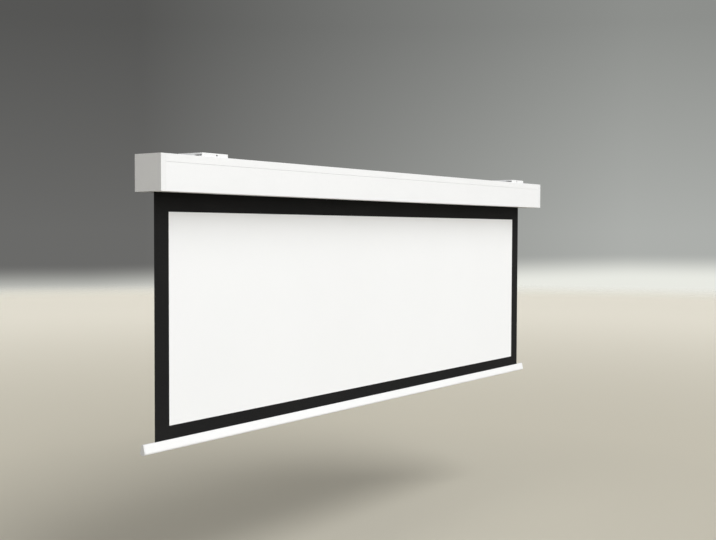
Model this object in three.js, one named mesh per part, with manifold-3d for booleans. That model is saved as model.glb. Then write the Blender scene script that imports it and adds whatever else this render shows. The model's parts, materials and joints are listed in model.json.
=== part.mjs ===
// A motorised roller screen for projection, let down under its square case.
// Millimetres, +Z up. X runs along the case and -Y is its front. The origin lies on the ceiling plane,
// midway between the two brackets and over the middle of the case.
import * as THREE from "three";
import { mergeVertices } from "three/addons/utils/BufferGeometryUtils.js";
import Module from "manifold-3d";

const wasm = await Module();
wasm.setup();

// Driving dimensions of the whole screen
const clothWidth = 2454;
const sideRoom = 58;
const sideBorder = 62;
const topBorder = 60;
const lowBorder = 44;
const whiteHeight = 683;
const caseSide = 116;
const ceilingGap = 12;

// Clearances: between touching pieces, past a face that is cut, and for welding equal corners
const seat = 0.3;
const overrun = 2;
const weldDistance = 1e-4;

// Case profile: walls, front seam, underside, and the two grooves that the brackets run in
const caseWall = 2.2;
const caseEdgeRound = 1.4;
const seamDrop = 25;
const seamGap = 0.8;
const tongueHeight = 8;
const tongueRoot = 4;
const slotRoomFront = 33.5;
const slotRoomRear = 5.5;
const lipRise = 8;
const rearLip = 6;
const grooveOffset = 30;
const grooveMouth = 6.6;
const grooveWidth = 12;
const grooveDepth = 3.6;

// End caps
const capDepth = 20;
const capWall = 3;
const tabThickness = 3;
const tabReach = 12;
const tabTopDrop = 36;
const tabHeight = 68;
const bossRadius = 5.5;
const bossOffset = 34;

// Cloth: turns left on the roller, hanging sheet, white layer, and the strip under the first turn
const woundThickness = 0.8;
const clothThickness = 0.5;
const whiteThickness = 0.25;
const stripWidth = 12;
const stripThickness = 0.6;

// Roller tube
const tubeWall = 2;
const tubeOverhang = 3;
const stripRecess = 1.3;
const flangeThickness = 3;

// Plates that carry the roller, and their screws
const plateThickness = 2.5;
const plateWidth = 88;
const plateAbove = 40;
const plateBelow = 18;
const plateCornerRound = 6;
const plateScrewRadius = 2;
const plateScrewLength = 14;
const plateScrewHeadRadius = 4;
const plateScrewHead = 2.5;

// Tubular motor
const motorRadius = 22.5;
const motorWall = 3.5;
const motorLength = 600;
const headRadius = 29;
const headLength = 25;
const headPlugLength = 14;
const squareHalf = 6;
const squareTip = 4;
const neckHalf = 4.5;
const clipThickness = 1.4;
const clipArm = 4;
const crownLength = 24;
const gearboxLength = 56;
const gearboxNose = 7;
const shaftRadius = 6;
const shaftSeatLength = 46;
const shaftStep = 2;
const shaftSquareHalf = 4;
const shaftTip = 6;
const driveWheelThickness = 22;
const driveWheelHoles = 6;
const driveWheelHoleRadius = 6;
const driveWheelHoleCircle = 19;
const limitScrewRadius = 3;
const limitScrewLength = 9;
const limitScrewOffset = 8;
const limitSocketRadius = 1.5;
const limitSocketDepth = 3;

// Idle end of the roller
const idlePlugLength = 50;
const idlePlugBore = 8;
const bearingRadius = 16;
const bearingWidth = 10;
const pinRadius = 6;
const pinCollarRadius = 9;
const pinReach = 28;
const pinTip = 1.5;
const pinNutFlats = 18;
const pinNutHeight = 5;

// Bottom bar, its hem rod and its weight
const barRecess = 6;
const barRoom = 3;
const barHeight = 34;
const barTopHalf = 4;
const barWideHalf = 10.5;
const barWideDrop = 26;
const barEdgeRound = 1;
const barWall = 2.2;
const barSlotHalf = 0.9;
const barCavityDrop = 12;
const hemRodRadius = 2.5;
const hemRodDrop = 6.5;
const hemRoom = 0.4;
const weightRadius = 6;
const barCapThickness = 3.7;
const barPlugLength = 12;

// Ceiling brackets, their slots, bolts and nuts
const bracketInset = 239;
const bracketLength = 118;
const bracketDepth = 108;
const bracketWall = 2.5;
const bracketFoot = 32;
const bracketLip = 6;
const bracketTongueGap = 0.5;
const bracketRound = 1.5;
const screwSlotWidth = 7;
const screwSlotLength = 24;
const screwSlotOffset = 35;
const wallSlotWidth = 7;
const wallSlotHeight = 5;
const wallSlotDrop = 4;
const wallSlotShift = 8;
const boltRadius = 3;
const boltHeadSide = 11;
const boltHeadHeight = 3;
const boltTip = 1.3;
const nutFlats = 10;
const nutHeight = 4;

// Small parts in the back wall
const capScrewRadius = 1.9;
const capScrewHeadRadius = 3.6;
const capScrewHead = 1.7;
const capScrewLength = 9;
const capScrewInset = 6;
const capScrewMargin = 12;
const grommetInset = 70;
const grommetDrop = 28;
const grommetBore = 4.5;
const grommetNeck = 7.2;
const grommetLipRadius = 10;
const grommetLip = 1.5;

// Facets of round pieces, of slot ends and of small rounded corners
const wideFacets = 40;
const middleFacets = 24;
const smallFacets = 16;
const slotFacets = 8;
const cornerFacets = 4;

// Places worked out from the sizes above
const caseHalf = caseSide / 2;
const innerHalf = caseHalf - caseWall;
const endX = clothWidth / 2 + sideRoom;
const capStart = endX - capDepth;
const coreEnd = capStart - seat;
const capInner = endX - capWall;
const barHalf = endX - barRecess;
const slotRear = caseHalf - rearLip;
const clothMiddle = slotRear - slotRoomRear - barWideHalf;
const slotFront = clothMiddle - barWideHalf - slotRoomFront;
const clothFront = clothMiddle - clothThickness / 2;
const woundOuter = clothFront - seat;
const woundInner = woundOuter - woundThickness;
const tubeRadius = woundInner - seat;
const tubeBore = tubeRadius - tubeWall;
const tubeEnd = clothWidth / 2 + tubeOverhang;
const flangeEnd = tubeEnd + seat + flangeThickness;
const headStart = flangeEnd + seat;
const plateInner = headStart + headLength + seat;
const plateOuter = plateInner + plateThickness;
const bossEnd = plateOuter + seat;
const motorBore = motorRadius - motorWall;
const motorEnd = headStart - seat;
const motorFar = motorEnd - motorLength;
const noseEnd = motorFar - seat - gearboxNose;
const shaftShoulder = noseEnd - shaftStep;
const wheelEnd = shaftShoulder - seat;
const whiteTop = -caseSide - topBorder;
const whiteFoot = whiteTop - whiteHeight;
const barTop = whiteFoot - lowBorder;
const barFootRound = barHeight - barWideDrop;

// Finishes, each a colour, a roughness and a metalness
const finishes = {
  whiteEnamel: [0xf4f4f2, 0.38, 0],
  whitePlastic: [0xf0f0ee, 0.45, 0],
  whiteScreen: [0xf7f5f0, 0.85, 0],
  blackCloth: [0x0c0c0d, 0.8, 0],
  bareAluminium: [0xb9bcbf, 0.35, 0.9],
  zincSteel: [0xa9adb0, 0.35, 0.9],
  greyPaint: [0x4a4d50, 0.5, 0.2],
  blackPlastic: [0x151516, 0.5, 0],
  yellowPlastic: [0xe2b21c, 0.45, 0],
  palePlastic: [0xe8e8e6, 0.45, 0],
};

// A three.js geometry as a closed manifold solid
function solidOf(geometry) {
  const bare = geometry.index ? geometry.toNonIndexed() : geometry.clone();
  bare.deleteAttribute("normal");
  bare.deleteAttribute("uv");
  const welded = mergeVertices(bare, weldDistance);
  const index = welded.index.array;
  const triangles = [];
  for (let i = 0; i < index.length; i += 3) {
    const [a, b, c] = index.slice(i, i + 3);
    if (a !== b && b !== c && c !== a) triangles.push(a, b, c);
  }
  return new wasm.Manifold(
    new wasm.Mesh({
      numProp: 3,
      vertProperties: welded.attributes.position.array,
      triVerts: new Uint32Array(triangles),
    }),
  );
}

function joined(first, ...others) {
  return others.reduce((sum, other) => sum.add(other), first);
}

function cut(body, ...tools) {
  return tools.reduce((rest, tool) => rest.subtract(tool), body);
}

function geometryOf(solid) {
  const mesh = solid.getMesh();
  const corners = new Float32Array(mesh.numVert * 3);
  for (let i = 0; i < mesh.numVert; i += 1) {
    const start = i * mesh.numProp;
    corners.set(mesh.vertProperties.subarray(start, start + 3), i * 3);
  }
  const geometry = new THREE.BufferGeometry();
  geometry.setAttribute("position", new THREE.BufferAttribute(corners, 3));
  geometry.setIndex(new THREE.BufferAttribute(mesh.triVerts, 1));
  return geometry.toNonIndexed();
}

// Adds a solid to a group as its own named mesh
function add(group, name, solid, finish) {
  const [color, roughness, metalness] = finishes[finish];
  const geometry = geometryOf(solid);
  geometry.computeVertexNormals();
  const material = new THREE.MeshStandardMaterial({ color, roughness, metalness });
  const mesh = new THREE.Mesh(geometry, material);
  mesh.name = name;
  group.add(mesh);
  return mesh;
}

// A closed outline from corners [u, v] or [u, v, round], where round is how far the corner is cut back
function outlineOf(corners, Path = THREE.Shape) {
  const path = new Path();
  corners.forEach(([u, v, round = 0], i) => {
    const corner = new THREE.Vector2(u, v);
    const [beforeU, beforeV] = corners[(i + corners.length - 1) % corners.length];
    const [afterU, afterV] = corners[(i + 1) % corners.length];
    const before = new THREE.Vector2(beforeU, beforeV).sub(corner).setLength(round).add(corner);
    const after = new THREE.Vector2(afterU, afterV).sub(corner).setLength(round).add(corner);
    if (i === 0) path.moveTo(before.x, before.y);
    else path.lineTo(before.x, before.y);
    if (round > 0) path.quadraticCurveTo(corner.x, corner.y, after.x, after.y);
  });
  path.closePath();
  return path;
}

// An outline in Y and Z, extruded along X from one end to the other
function alongX(shape, fromX, toX) {
  const depth = Math.abs(toX - fromX);
  const geometry = new THREE.ExtrudeGeometry(shape, { depth, bevelEnabled: false, curveSegments: cornerFacets });
  const axes = new THREE.Matrix4().makeBasis(
    new THREE.Vector3(0, 1, 0),
    new THREE.Vector3(0, 0, 1),
    new THREE.Vector3(1, 0, 0),
  );
  geometry.applyMatrix4(axes);
  geometry.translate(Math.min(fromX, toX), 0, 0);
  return solidOf(geometry);
}

// An outline in X and Y, extruded upwards from one height to another
function alongZ(shape, fromZ, toZ) {
  const depth = toZ - fromZ;
  const geometry = new THREE.ExtrudeGeometry(shape, { depth, bevelEnabled: false, curveSegments: slotFacets });
  geometry.translate(0, 0, fromZ);
  return solidOf(geometry);
}

function block([x0, x1], [y0, y1], [z0, z1]) {
  const geometry = new THREE.BoxGeometry(Math.abs(x1 - x0), Math.abs(y1 - y0), Math.abs(z1 - z0));
  geometry.translate((x0 + x1) / 2, (y0 + y1) / 2, (z0 + z1) / 2);
  return solidOf(geometry);
}

// A closed profile of [radius, place along the axis] corners, turned about the X, Y or Z axis
function turned(axis, profile, facets) {
  const ring = profile.map(([radius, place]) => new THREE.Vector2(radius, place));
  const doubleArea = ring.reduce((sum, point, i) => sum + point.cross(ring[(i + 1) % ring.length]), 0);
  if (doubleArea < 0) ring.reverse();
  const geometry = new THREE.LatheGeometry([...ring, ring[0].clone()], facets);
  if (axis === "x") geometry.rotateZ(-Math.PI / 2);
  if (axis === "z") geometry.rotateX(Math.PI / 2);
  return solidOf(geometry);
}

// A plain disc or, with an inner radius, a ring, between two places on its axis
function disc(axis, radius, from, to, facets, bore = 0) {
  return turned(axis, [[bore, from], [radius, from], [radius, to], [bore, to]], facets);
}

function hexagon(axis, flats, from, to, bore) {
  const prism = disc(axis, flats / Math.sqrt(3), from, to, 6);
  return cut(prism, disc(axis, bore, from - overrun, to + overrun, smallFacets));
}

// A span of X on one side of the screen, -1 for the left and 1 for the right
function span(side, near, far) {
  return side < 0 ? [-far, -near] : [near, far];
}

// Corners of one top groove, from its near mouth edge to its far one, seen from inside the wall
function grooveCorners(middle) {
  const mouth = grooveMouth / 2;
  const width = grooveWidth / 2;
  const floor = -caseWall - grooveDepth;
  return [
    [middle - mouth, 0],
    [middle - mouth, -caseWall],
    [middle - width, -caseWall],
    [middle - width, floor],
    [middle + width, floor],
    [middle + width, -caseWall],
    [middle + mouth, -caseWall],
    [middle + mouth, 0],
  ];
}

// The wall under a groove, which hangs below the case's top wall
function grooveTroughCorners(middle) {
  const half = grooveWidth / 2 + caseWall;
  const floor = -2 * caseWall - grooveDepth;
  return [
    [middle + half, -caseWall],
    [middle + half, floor],
    [middle - half, floor],
    [middle - half, -caseWall],
  ];
}

function countersunkProfile(extra, tip) {
  return [
    [0, extra > 0 ? overrun : 0],
    [capScrewHeadRadius + extra, extra > 0 ? overrun : 0],
    [capScrewHeadRadius + extra, 0],
    [capScrewRadius + extra, -capScrewHead],
    [capScrewRadius + extra, tip],
    [0, tip],
  ];
}

// Places of the two screws in each end of the back wall, as [x, z]
function capScrewPlaces(side) {
  const x = side * (coreEnd - capScrewInset);
  const top = -tabTopDrop - capScrewMargin;
  const low = -tabTopDrop - tabHeight + capScrewMargin;
  return [[x, top], [x, low]];
}

function capScrewHoles(side, tip) {
  return capScrewPlaces(side).map(([x, z]) =>
    turned("y", countersunkProfile(seat, tip), smallFacets).translate(x, caseHalf, z),
  );
}

// Top and back of the case in one profile, with the strip above the front seam
function caseBody() {
  const profile = outlineOf([
    [-caseHalf, 0, caseEdgeRound],
    ...grooveCorners(-grooveOffset),
    ...grooveCorners(grooveOffset),
    [caseHalf, 0, caseEdgeRound],
    [caseHalf, -caseSide, caseEdgeRound],
    [slotRear, -caseSide],
    [slotRear, -caseSide + caseWall],
    [innerHalf, -caseSide + caseWall],
    [innerHalf, -caseWall],
    ...grooveTroughCorners(grooveOffset),
    ...grooveTroughCorners(-grooveOffset),
    [-innerHalf, -caseWall],
    [-innerHalf, -seamDrop],
    [-caseHalf, -seamDrop],
  ]);
  const body = alongX(profile, -coreEnd, coreEnd);
  const cableHole = disc("y", grommetNeck + seat, innerHalf - overrun, caseHalf + overrun, middleFacets);
  return cut(
    body,
    cableHole.translate(endX - grommetInset, 0, -grommetDrop),
    ...capScrewHoles(-1, -capScrewLength),
    ...capScrewHoles(1, -capScrewLength),
  );
}

// Front wall under the seam and the underside's front lip, hooked behind the body's strip by a tongue
function frontCover() {
  const seam = -seamDrop - seamGap;
  const tongueFront = -innerHalf + seat;
  const tongueBack = tongueFront + caseWall;
  const profile = outlineOf([
    [-caseHalf, seam],
    [tongueFront, seam],
    [tongueFront, -seamDrop + tongueHeight],
    [tongueBack, -seamDrop + tongueHeight],
    [tongueBack, seam - tongueRoot],
    [-innerHalf, seam - tongueRoot],
    [-innerHalf, -caseSide + caseWall],
    [slotFront - caseWall, -caseSide + caseWall],
    [slotFront - caseWall, -caseSide + lipRise],
    [slotFront, -caseSide + lipRise],
    [slotFront, -caseSide, caseEdgeRound],
    [-caseHalf, -caseSide, caseEdgeRound],
  ]);
  return alongX(profile, -coreEnd, coreEnd);
}

// Hollow cap, open towards the case, with tabs that reach into it and bosses for the roller's plate
function endCap(side) {
  const square = outlineOf([
    [-caseHalf, 0, caseEdgeRound],
    [caseHalf, 0, caseEdgeRound],
    [caseHalf, -caseSide, caseEdgeRound],
    [-caseHalf, -caseSide, caseEdgeRound],
  ]);
  const hollow = block(
    span(side, capStart - overrun, capInner),
    [-innerHalf, innerHalf],
    [-caseSide + caseWall, -caseWall],
  );
  const barNotch = block(
    span(side, capStart - overrun, barHalf + barRoom),
    [slotFront, slotRear],
    [-caseSide - overrun, -caseSide + caseWall + overrun],
  );
  const shell = cut(alongX(square, side * capStart, side * endX), hollow, barNotch);
  const tabHeights = [-tabTopDrop - tabHeight, -tabTopDrop];
  const tabs = [-1, 1].flatMap((face) => [
    block(
      span(side, capStart - tabReach, capInner + capWall / 2),
      [face * (innerHalf - seat - tabThickness), face * (innerHalf - seat)],
      tabHeights,
    ),
    block(
      span(side, capStart, capInner + capWall / 2),
      [face * (innerHalf - seat - tabThickness / 2), face * (innerHalf + caseWall / 2)],
      tabHeights,
    ),
  ]);
  const bosses = [-1, 1].map((face) =>
    disc("x", bossRadius, ...span(side, bossEnd, capInner + capWall / 2), smallFacets).translate(
      0,
      face * bossOffset,
      -caseHalf,
    ),
  );
  const pilots = [-1, 1].map((face) =>
    disc("x", plateScrewRadius + seat, ...span(side, bossEnd - overrun, capInner), smallFacets).translate(
      0,
      face * bossOffset,
      -caseHalf,
    ),
  );
  return cut(joined(shell, ...tabs, ...bosses), ...pilots, ...capScrewHoles(side, -capScrewLength - overrun));
}

function capScrew(tipLength) {
  return turned("y", countersunkProfile(0, -tipLength), smallFacets);
}

// Steel plate across the case's end that carries one end of the roller, without its middle hole
function rollerPlate(side) {
  const half = plateWidth / 2;
  const profile = outlineOf([
    [-half, plateAbove, plateCornerRound],
    [half, plateAbove, plateCornerRound],
    [half, -plateBelow, plateCornerRound],
    [-half, -plateBelow, plateCornerRound],
  ]);
  const screwHoles = [-1, 1].map((face) =>
    disc("x", plateScrewRadius + seat, ...span(side, plateInner - overrun, plateOuter + overrun), smallFacets)
      .translate(0, face * bossOffset, 0),
  );
  return cut(alongX(profile, side * plateInner, side * plateOuter), ...screwHoles);
}

function motorPlate() {
  const half = squareHalf + seat;
  const socket = block([plateInner - overrun, plateOuter + overrun], [-half, half], [-half, half]);
  return cut(rollerPlate(1), socket);
}

function idlePlate() {
  const hole = disc("x", pinRadius + seat, -plateOuter - overrun, -plateInner + overrun, middleFacets);
  return cut(rollerPlate(-1), hole);
}

// Pan head screw along X, its head towards the middle of the case
function plateScrew(side) {
  const headFar = plateInner - seat;
  const head = disc("x", plateScrewHeadRadius, ...span(side, headFar - plateScrewHead, headFar), smallFacets);
  const shank = disc("x", plateScrewRadius, ...span(side, headFar - seat, headFar + plateScrewLength), smallFacets);
  return joined(head, shank);
}

// Places of the limit screws in the motor head, as Y about the roller's axis
const limitScrewPlaces = { down: -limitScrewOffset, up: limitScrewOffset };
const limitScrewX = headStart + headLength / 2;

function motorHead() {
  const plug = disc("x", motorBore - seat, headStart - headPlugLength, headStart + overrun, middleFacets);
  const head = disc("x", headRadius, headStart, headStart + headLength, wideFacets);
  const clipNear = plateOuter + seat;
  const clipFar = clipNear + clipThickness;
  const square = block(
    [headStart + headLength - overrun, clipFar + squareTip],
    [-squareHalf, squareHalf],
    [-squareHalf, squareHalf],
  );
  const neckCuts = [-1, 1].map((face) =>
    block(
      [clipNear - seat / 2, clipFar + seat],
      [face * neckHalf, face * (squareHalf + overrun)],
      [-squareHalf - overrun, squareHalf + overrun],
    ),
  );
  const screwTop = -headRadius + limitScrewLength + seat;
  const screwHoles = Object.values(limitScrewPlaces).map((y) =>
    disc("z", limitScrewRadius + seat, -headRadius - overrun, screwTop, smallFacets).translate(limitScrewX, y, 0),
  );
  return cut(joined(plug, head, square), ...neckCuts, ...screwHoles);
}

// Fork that slides down over the neck of the motor's square and keeps it in the plate
function motorClip() {
  const arm = neckHalf + seat;
  const outer = arm + clipArm;
  const profile = outlineOf([
    [-outer, -squareHalf],
    [-arm, -squareHalf],
    [-arm, squareHalf + seat],
    [arm, squareHalf + seat],
    [arm, -squareHalf],
    [outer, -squareHalf],
    [outer, squareHalf + clipArm, clipArm],
    [-outer, squareHalf + clipArm, clipArm],
  ]);
  return alongX(profile, plateOuter + seat, plateOuter + seat + clipThickness);
}

function limitScrew() {
  const body = disc("z", limitScrewRadius, -headRadius, -headRadius + limitScrewLength, smallFacets);
  const socket = disc("z", limitSocketRadius, -headRadius - overrun, -headRadius + limitSocketDepth, 6);
  return cut(body, socket);
}

function motorTube() {
  return disc("x", motorRadius, motorFar, motorEnd, middleFacets, motorBore);
}

function motorGearbox() {
  const insideRadius = motorBore - seat;
  const nose = disc("x", motorRadius, noseEnd, motorFar - seat, middleFacets);
  const inside = disc("x", insideRadius, noseEnd, motorFar + gearboxLength, middleFacets);
  const bore = disc("x", shaftRadius + seat, noseEnd - overrun, noseEnd + shaftSeatLength + seat, smallFacets);
  return cut(joined(nose, inside), bore);
}

function motorShaft() {
  const round = disc("x", shaftRadius, shaftShoulder, noseEnd + shaftSeatLength, smallFacets);
  const half = shaftSquareHalf;
  const tip = wheelEnd - driveWheelThickness - shaftTip;
  const square = block([tip, shaftShoulder + overrun], [-half, half], [-half, half]);
  return joined(round, square);
}

function driveWheel() {
  const from = wheelEnd - driveWheelThickness;
  const wheel = disc("x", tubeBore - seat, from, wheelEnd, wideFacets);
  const half = shaftSquareHalf + seat;
  const socket = block([from - overrun, wheelEnd + overrun], [-half, half], [-half, half]);
  const holes = Array.from({ length: driveWheelHoles }, (_, i) => {
    const angle = (2 * Math.PI * i) / driveWheelHoles;
    const y = driveWheelHoleCircle * Math.cos(angle);
    const z = driveWheelHoleCircle * Math.sin(angle);
    return disc("x", driveWheelHoleRadius, from - overrun, wheelEnd + overrun, smallFacets).translate(0, y, z);
  });
  return cut(wheel, socket, ...holes);
}

// Ring that closes the tube's motor end and runs on the motor's housing
function crownRing() {
  const bore = motorRadius + seat;
  const insideRadius = tubeBore - seat;
  const inner = tubeEnd + seat - crownLength;
  return turned(
    "x",
    [
      [bore, inner],
      [insideRadius, inner],
      [insideRadius, tubeEnd + seat],
      [tubeRadius, tubeEnd + seat],
      [tubeRadius, flangeEnd],
      [bore, flangeEnd],
    ],
    wideFacets,
  );
}

function rollerTube() {
  const tube = disc("x", tubeRadius, -tubeEnd, tubeEnd, wideFacets, tubeBore);
  const half = stripWidth / 2 + seat;
  const recess = block(
    [-tubeEnd - overrun, tubeEnd + overrun],
    [-half, half],
    [tubeRadius - stripRecess, tubeRadius + overrun],
  );
  return cut(tube, recess);
}

// Flat strip that holds the cloth's first turn, in the recess along the tube
function clothStrip() {
  const floor = tubeRadius - stripRecess + seat;
  return block(
    [-clothWidth / 2, clothWidth / 2],
    [-stripWidth / 2, stripWidth / 2],
    [floor, floor + stripThickness],
  );
}

function woundCloth() {
  return disc("x", woundOuter, -clothWidth / 2, clothWidth / 2, wideFacets, woundInner);
}

// Plug of the tube's idle end, with a pocket for the bearing
function idlePlug() {
  const insideRadius = tubeBore - seat;
  const pocket = -flangeEnd + 2 * seat + bearingWidth;
  return turned(
    "x",
    [
      [bearingRadius + seat, -flangeEnd],
      [tubeRadius, -flangeEnd],
      [tubeRadius, -tubeEnd - seat],
      [insideRadius, -tubeEnd - seat],
      [insideRadius, -tubeEnd + idlePlugLength],
      [idlePlugBore, -tubeEnd + idlePlugLength],
      [idlePlugBore, pocket],
      [bearingRadius + seat, pocket],
    ],
    wideFacets,
  );
}

function idleBearing() {
  const from = -flangeEnd + seat;
  return disc("x", bearingRadius, from, from + bearingWidth, middleFacets, pinRadius + seat);
}

function idlePin() {
  const collarOuter = -plateInner + seat;
  const collarInner = -flangeEnd - seat;
  const outerTip = -plateOuter - seat - pinNutHeight - pinTip;
  const collar = disc("x", pinCollarRadius, collarOuter, collarInner, middleFacets);
  const shank = disc("x", pinRadius, outerTip, collarInner + pinReach, middleFacets);
  return joined(collar, shank);
}

function idlePinNut() {
  const near = -plateOuter - seat;
  return hexagon("x", pinNutFlats, near - pinNutHeight, near, pinRadius + seat);
}

// Rubber ring in the hole of the back wall that the cable goes through
function cableGrommet() {
  const outside = caseHalf + seat;
  const inside = innerHalf - seat;
  return turned(
    "y",
    [
      [grommetBore, inside - grommetLip],
      [grommetLipRadius, inside - grommetLip],
      [grommetLipRadius, inside],
      [grommetNeck, inside],
      [grommetNeck, outside],
      [grommetLipRadius, outside],
      [grommetLipRadius, outside + grommetLip],
      [grommetBore, outside + grommetLip],
    ],
    middleFacets,
  );
}

// Black sheet from the roller's rear tangent down into the bar's slot
function blackCloth() {
  const foot = barTop - hemRodDrop + hemRodRadius + seat;
  return block(
    [-clothWidth / 2, clothWidth / 2],
    [clothFront, clothFront + clothThickness],
    [foot, -caseHalf],
  );
}

function whiteSurface() {
  const half = clothWidth / 2 - sideBorder;
  return block([-half, half], [clothFront - seat - whiteThickness, clothFront - seat], [whiteFoot, whiteTop]);
}

// Section of the bottom bar about the cloth's middle plane, with its top at zero
function barCorners() {
  return [
    [barTopHalf, 0, barEdgeRound],
    [barWideHalf, -barWideDrop],
    [barWideHalf, -barHeight, barFootRound],
    [-barWideHalf, -barHeight, barFootRound],
    [-barWideHalf, -barWideDrop],
    [-barTopHalf, 0, barEdgeRound],
  ];
}

// Outline of the bar's cavity, drawn in by a clearance for the plugs that fit it
function barCavityCorners(inset) {
  const slope = (barWideHalf - barTopHalf) / barWideDrop;
  const topHalf = barTopHalf + slope * barCavityDrop - barWall - inset;
  const wideHalf = barWideHalf - barWall - inset;
  const foot = -barHeight + barWall + inset;
  const round = barFootRound - barWall - inset;
  return [
    [topHalf, -barCavityDrop - inset],
    [wideHalf, -barWideDrop],
    [wideHalf, foot, round],
    [-wideHalf, foot, round],
    [-wideHalf, -barWideDrop],
    [-topHalf, -barCavityDrop - inset],
  ];
}

function barProfile() {
  const end = barHalf - barCapThickness - seat;
  const outside = alongX(outlineOf(barCorners()), -end, end);
  const cavity = alongX(outlineOf(barCavityCorners(0)), -end - overrun, end + overrun);
  const hemBore = disc("x", hemRodRadius + hemRoom, -end - overrun, end + overrun, smallFacets);
  const slot = block(
    [-end - overrun, end + overrun],
    [-barSlotHalf, barSlotHalf],
    [-hemRodDrop, overrun],
  );
  return cut(outside, cavity, hemBore.translate(0, 0, -hemRodDrop), slot);
}

function barCap(side) {
  const plate = alongX(outlineOf(barCorners()), side * (barHalf - barCapThickness), side * barHalf);
  const inner = barHalf - barCapThickness - barPlugLength;
  const plug = alongX(
    outlineOf(barCavityCorners(seat)),
    side * inner,
    side * (barHalf - barCapThickness / 2),
  );
  return joined(plate, plug);
}

function hemRod() {
  return disc("x", hemRodRadius, -clothWidth / 2, clothWidth / 2, smallFacets);
}

function barWeight() {
  const end = barHalf - barCapThickness - barPlugLength - seat;
  const height = -barHeight + barWall + seat + weightRadius;
  return disc("x", weightRadius, -end, end, smallFacets).translate(0, 0, height);
}

// Channel bent from steel: ceiling plate with its ends turned down, two walls, and two feet turned in
// over the case's grooves
function ceilingBracket(side) {
  const half = bracketDepth / 2;
  const foot = -ceilingGap + seat;
  const profile = outlineOf([
    [-half, 0, bracketRound],
    [half, 0, bracketRound],
    [half, foot, bracketRound],
    [half - bracketFoot, foot],
    [half - bracketFoot, foot + bracketWall],
    [half - bracketWall, foot + bracketWall],
    [half - bracketWall, -bracketWall],
    [-half + bracketWall, -bracketWall],
    [-half + bracketWall, foot + bracketWall],
    [-half + bracketFoot, foot + bracketWall],
    [-half + bracketFoot, foot],
    [-half, foot, bracketRound],
  ]);
  const channel = alongX(profile, -bracketLength / 2, bracketLength / 2);
  return cut(joined(channel, ...bracketEnds(foot)), ...ceilingSlots(), ...boltHoles(foot), wallSlots(side));
}

// At each end a short lip from wall to wall, and a longer tongue that stands down between the feet
function bracketEnds(foot) {
  const lipHalf = bracketDepth / 2 - bracketWall / 2;
  const tongueHalf = bracketDepth / 2 - bracketFoot - bracketTongueGap;
  return [-1, 1].flatMap((end) => {
    const thickness = span(end, bracketLength / 2 - bracketWall, bracketLength / 2);
    return [
      block(thickness, [-lipHalf, lipHalf], [-bracketLip, -bracketWall / 2]),
      block(thickness, [-tongueHalf, tongueHalf], [foot, -bracketWall / 2]),
    ];
  });
}

// Slots for the ceiling screws, across the bracket
function ceilingSlots() {
  const half = screwSlotWidth / 2;
  const straight = screwSlotLength / 2 - half;
  return [-1, 1].map((side) => {
    const slot = new THREE.Shape();
    slot.absarc(0, straight, half, 0, Math.PI, false);
    slot.absarc(0, -straight, half, Math.PI, 2 * Math.PI, false);
    slot.closePath();
    return alongZ(slot, -bracketWall - overrun, overrun).translate(side * screwSlotOffset, 0, 0);
  });
}

function boltHoles(foot) {
  return [-1, 1].map((face) =>
    disc("z", boltRadius + seat, foot - overrun, foot + bracketWall + overrun, smallFacets).translate(
      0,
      face * grooveOffset,
      0,
    ),
  );
}

// One cut across the bracket that leaves a slot in its front wall and one in its rear wall, on the side
// towards the middle of the case
function wallSlots(side) {
  return block(
    [-wallSlotWidth / 2, wallSlotWidth / 2],
    [-bracketDepth / 2 - overrun, bracketDepth / 2 + overrun],
    [-wallSlotDrop - wallSlotHeight, -wallSlotDrop],
  ).translate(-side * wallSlotShift, 0, 0);
}

// Hammer-head bolt: its head lies in the case's groove and its shank stands up through the bracket's foot
function grooveBolt() {
  const headTop = -ceilingGap - caseWall - seat;
  const half = boltHeadSide / 2;
  const nutTop = -ceilingGap + seat + bracketWall + seat + nutHeight;
  const head = block([-half, half], [-half, half], [headTop - boltHeadHeight, headTop]);
  const shank = disc("z", boltRadius, headTop - boltHeadHeight / 2, nutTop + boltTip, smallFacets);
  return joined(head, shank);
}

function grooveNut() {
  const foot = -ceilingGap + seat + bracketWall + seat;
  return hexagon("z", nutFlats, foot, foot + nutHeight, boltRadius + seat);
}

// The fixed case with everything that stays still in it
function buildCase(screen) {
  const group = new THREE.Group();
  group.position.z = -ceilingGap;
  add(group, "case_body", caseBody(), "whiteEnamel");
  add(group, "front_cover", frontCover(), "whiteEnamel");
  add(group, "cable_grommet", cableGrommet(), "blackPlastic").position.set(
    endX - grommetInset,
    0,
    -grommetDrop,
  );
  for (const [name, side] of [["left", -1], ["right", 1]]) {
    add(group, `end_cap_${name}`, endCap(side), "whitePlastic");
    for (const [i, [x, z]] of capScrewPlaces(side).entries()) {
      const row = ["upper", "lower"][i];
      add(group, `cap_screw_${name}_${row}`, capScrew(capScrewLength), "zincSteel").position.set(x, caseHalf, z);
    }
  }
  screen.add(group);
  return group;
}

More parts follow.
